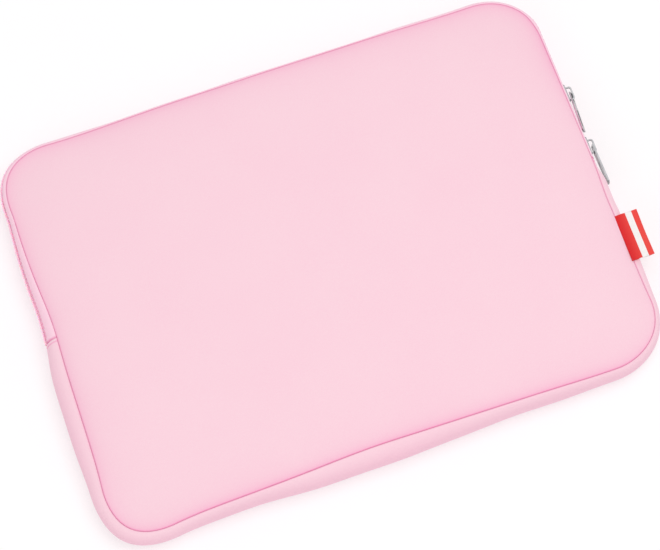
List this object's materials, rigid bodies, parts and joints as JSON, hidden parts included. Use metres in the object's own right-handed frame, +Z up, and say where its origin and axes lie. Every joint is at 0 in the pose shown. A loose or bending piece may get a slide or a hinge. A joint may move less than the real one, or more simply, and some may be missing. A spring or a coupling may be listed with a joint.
{
  "type": "laptop sleeve",
  "caption": "Padded fabric sleeve for a laptop, with a bulging side band, a coil zip round its upper half, sliders with pull tabs and a woven side label.",
  "frame": {"origin": "middle of the back panel's flat face, which the sleeve rests on", "axes": "+Z up out of the front panel, +Y towards the long edge that opens, +X towards the short side with the label and the sliders"},
  "size_m": [0.3555, 0.2526, 0.027],
  "materials": {
    "neoprene": "smooth pale pink jersey over foam",
    "lining": "soft brushed knit",
    "binding": "ribbed bias tape",
    "zip_tape": "woven tape",
    "zip_coil": "spun nylon coil",
    "zip_metal": "bright nickel plate",
    "label_ribbon": "woven satin ribbon"
  },
  "bodies": {
    "sleeve": {"back_panel": "neoprene", "back_lining": "lining", "back_seam_binding": "binding", "back_zip_strip": "neoprene", "back_zip_tape": "zip_tape", "back_zip_coil": "zip_coil", "bottom_gusset": "neoprene", "woven_label": "label_ribbon", "front_panel_lower": "neoprene", "front_lining_lower": "lining", "front_seam_binding_lower": "binding", "front_zip_strip_lower": "neoprene", "front_zip_tape_lower": "zip_tape", "front_zip_coil_lower": "zip_coil"},
    "mouth_flap": {"front_panel_upper": "neoprene", "front_lining_upper": "lining", "front_seam_binding_upper": "binding", "front_zip_strip_upper": "neoprene", "front_zip_tape_upper": "zip_tape", "front_zip_coil_upper": "zip_coil"},
    "upper_slider": {"upper_slider_body": "zip_metal", "upper_slider_crown": "zip_metal"},
    "upper_pull": {"upper_pull_tab": "zip_metal"},
    "lower_slider": {"lower_slider_body": "zip_metal", "lower_slider_crown": "zip_metal"},
    "lower_pull": {"lower_pull_tab": "zip_metal"}
  },
  "joints": [
    {"name": "mouth_fold", "type": "hinge", "parent": "sleeve", "child": "mouth_flap", "pos_m": [0, 0.059, 0.027], "axis": [0.9761, 0.2175, 0], "range_deg": [0, 65]},
    {"name": "upper_slider_travel", "type": "slide", "parent": "sleeve", "child": "upper_slider", "axis": [0, 1, 0], "range_m": [-0.001, 0.029]},
    {"name": "upper_pull_swing", "type": "hinge", "parent": "upper_slider", "child": "upper_pull", "pos_m": [0.17445, 0.0525, 0.0135], "axis": [-0.342, 0, 0.9397], "range_deg": [-1, 172]},
    {"name": "lower_slider_travel", "type": "slide", "parent": "sleeve", "child": "lower_slider", "axis": [0, 1, 0], "range_m": [-0.004, 0.001]},
    {"name": "lower_pull_swing", "type": "hinge", "parent": "lower_slider", "child": "lower_pull", "pos_m": [0.17445, 0.016, 0.0135], "axis": [0, 0, 1], "range_deg": [-1, 132]}
  ]
}
